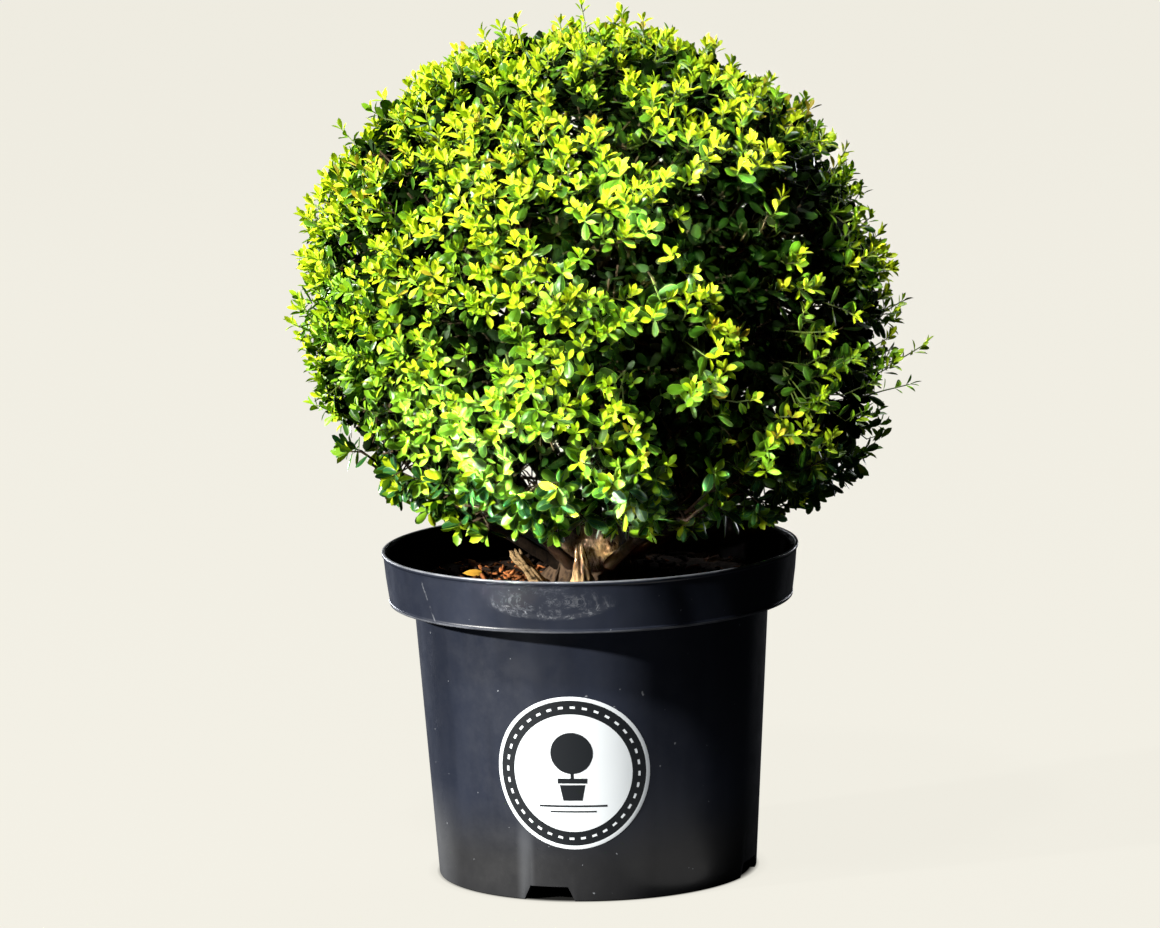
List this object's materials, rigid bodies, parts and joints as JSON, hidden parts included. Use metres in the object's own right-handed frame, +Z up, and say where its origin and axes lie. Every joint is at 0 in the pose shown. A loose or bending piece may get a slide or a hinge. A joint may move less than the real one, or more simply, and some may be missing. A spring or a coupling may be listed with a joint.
{
  "type": "potted japanese holly ball",
  "caption": "Clipped ball of small-leaved japanese holly on a short gnarled trunk, growing in a round black nursery pot with a deep collar and a round label.",
  "frame": {"origin": "middle of the pot's flat underside, on the pot's axis", "axes": "+Z up along the pot's axis; -Y is the front, where the label is, and +X is to the right seen from the front"},
  "size_m": [0.5208, 0.4843, 0.7377],
  "materials": {
    "pot": "satin black moulded plastic, scuffed",
    "label": "white film with a dark ring",
    "soil": "moist dark bark and peat mix",
    "pale_wood": "weathered bare wood",
    "bark": "rough grey-brown bark",
    "foliage": "glossy small leaves, dark green with bright new growth"
  },
  "bodies": {
    "root": {"pot": "pot", "pot_label": "label", "potting_soil": "soil", "broken_stub_front": "pale_wood", "cut_stub_left": "pale_wood", "trunk": "bark", "bough_1": "bark", "bough_2": "bark", "bough_3": "bark", "bough_4": "bark", "bough_5": "bark", "bough_leader": "bark", "low_bough_1": "bark", "low_bough_2": "bark", "low_bough_3": "bark", "low_bough_4": "bark", "low_bough_5": "bark", "low_bough_6": "bark", "crown": "foliage", "hem_spray_1": "foliage", "hem_spray_2": "foliage", "hem_spray_3": "foliage", "hem_spray_4": "foliage", "hem_spray_5": "foliage", "hem_spray_6": "foliage"}
  },
  "joints": []
}
